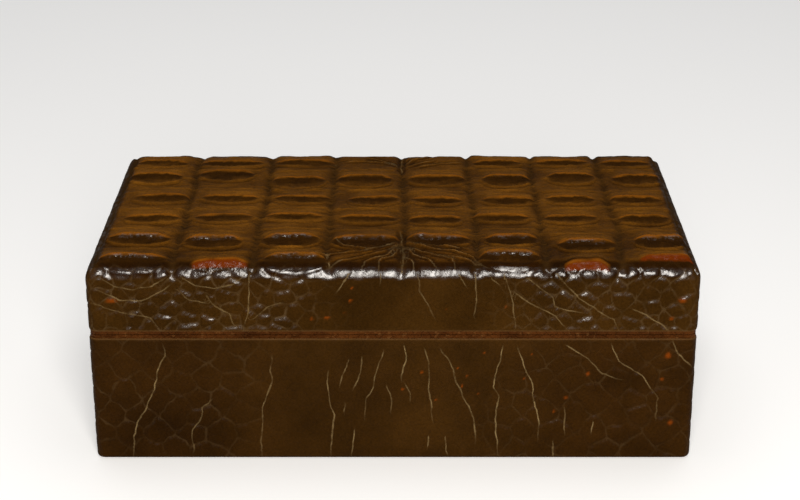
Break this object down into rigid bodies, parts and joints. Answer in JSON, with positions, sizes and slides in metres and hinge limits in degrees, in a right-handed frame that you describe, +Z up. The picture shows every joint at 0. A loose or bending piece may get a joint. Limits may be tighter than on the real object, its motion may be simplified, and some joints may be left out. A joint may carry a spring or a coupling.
{
  "type": "stationery box",
  "caption": "Upright rectangular box covered in keeled reptile hide, with a hinged lid that lifts from the front over lined bays for note paper, pens and stamps.",
  "frame": {"origin": "centre of the underside, on the surface that the box stands on", "axes": "+X to the right along the front, +Y to the back where the hinges are, +Z up"},
  "size_m": [0.254, 0.14, 0.0917],
  "materials": {
    "hide": "glazed crocodile hide, dark brown, worn to orange at crests and corners",
    "edging": "pared red-brown leather, satin",
    "lining": "smooth red-brown skiver over thin board",
    "case_wood": "planed hardwood, oiled",
    "pad_cloth": "ribbed silk over wadding",
    "hinge_brass": "drawn brass, lightly tarnished",
    "baize": "felted wool baize"
  },
  "bodies": {
    "base": {"base_front_board": "case_wood", "base_back_board": "case_wood", "base_left_board": "case_wood", "base_right_board": "case_wood", "floor_board": "case_wood", "base_leather": "hide", "base_edging": "edging", "underside_baize": "baize", "lining_front": "lining", "lining_back": "lining", "lining_left": "lining", "lining_right": "lining", "floor_pad": "pad_cloth", "paper_divider": "lining", "stamp_divider": "lining", "left_hinge_base_leaf": "hinge_brass", "right_hinge_base_leaf": "hinge_brass", "left_hinge_pin": "hinge_brass", "right_hinge_pin": "hinge_brass", "base_leaf_screws": "hinge_brass"},
    "lid": {"lid_front_board": "case_wood", "lid_back_board": "case_wood", "lid_left_board": "case_wood", "lid_right_board": "case_wood", "lid_top_board": "case_wood", "lid_leather": "hide", "lid_edging": "edging", "lid_lining_front": "lining", "lid_lining_back": "lining", "lid_lining_left": "lining", "lid_lining_right": "lining", "lid_pad": "pad_cloth", "left_hinge_lid_leaf": "hinge_brass", "right_hinge_lid_leaf": "hinge_brass", "lid_leaf_screws": "hinge_brass"}
  },
  "joints": [
    {"name": "lid_hinge", "type": "hinge", "parent": "base", "child": "lid", "pos_m": [0, 0.0672, 0.058], "axis": [-1, 0, 0], "range_deg": [0, 98]}
  ]
}
